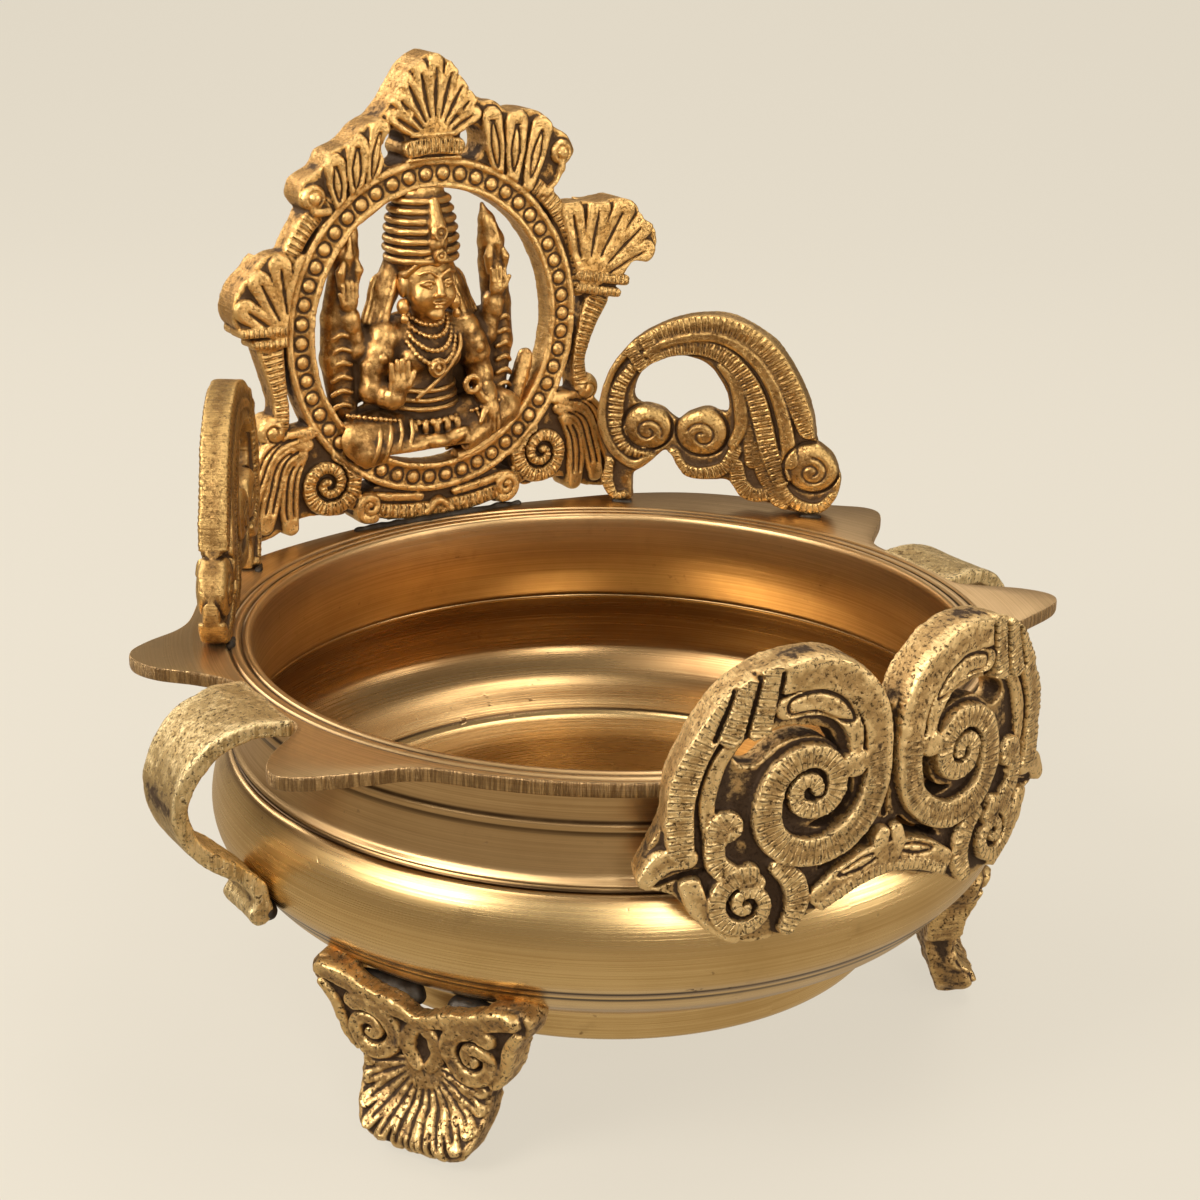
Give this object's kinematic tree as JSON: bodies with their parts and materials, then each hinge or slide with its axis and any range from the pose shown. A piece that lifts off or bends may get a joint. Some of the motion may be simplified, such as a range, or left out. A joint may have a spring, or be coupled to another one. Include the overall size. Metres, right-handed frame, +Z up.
{
  "type": "urli bowl",
  "caption": "Round-bellied brass bowl on three scroll feet with strap handles, a seated deity in a beaded ring arch, two side scrolls and a curved front scroll panel.",
  "frame": {"origin": "on the ground, on the bowl's vertical axis", "axes": "+Z up, -Y towards the front scroll panel, +Y towards the deity arch, +X and -X towards the handles"},
  "size_m": [0.216, 0.19, 0.2015],
  "materials": {
    "turned_brass": "lathe-turned, brushed",
    "rim_brass": "filed and turned, slightly coppery",
    "cast_brass": "sand cast, dark antique patina in the recesses",
    "pale_cast_brass": "sand cast, pitted, rubbed pale on the high points",
    "strap_brass": "filed strap with scale marks",
    "solder": "dull grey solder"
  },
  "bodies": {
    "root": {"bowl": "turned_brass", "base_ring": "turned_brass", "rim_collar": "rim_brass", "back_arch": "cast_brass", "seated_figure": "cast_brass", "wing_right": "cast_brass", "wing_left": "cast_brass", "front_scroll_panel": "pale_cast_brass", "handle_right": "strap_brass", "handle_left": "strap_brass", "foot_front_right": "pale_cast_brass", "foot_front_left": "pale_cast_brass", "foot_back": "pale_cast_brass", "solder_feet": "solder", "solder_handle_right": "solder", "solder_handle_left": "solder", "solder_arch": "solder", "solder_wings": "solder", "solder_front_panel": "solder"}
  },
  "joints": []
}
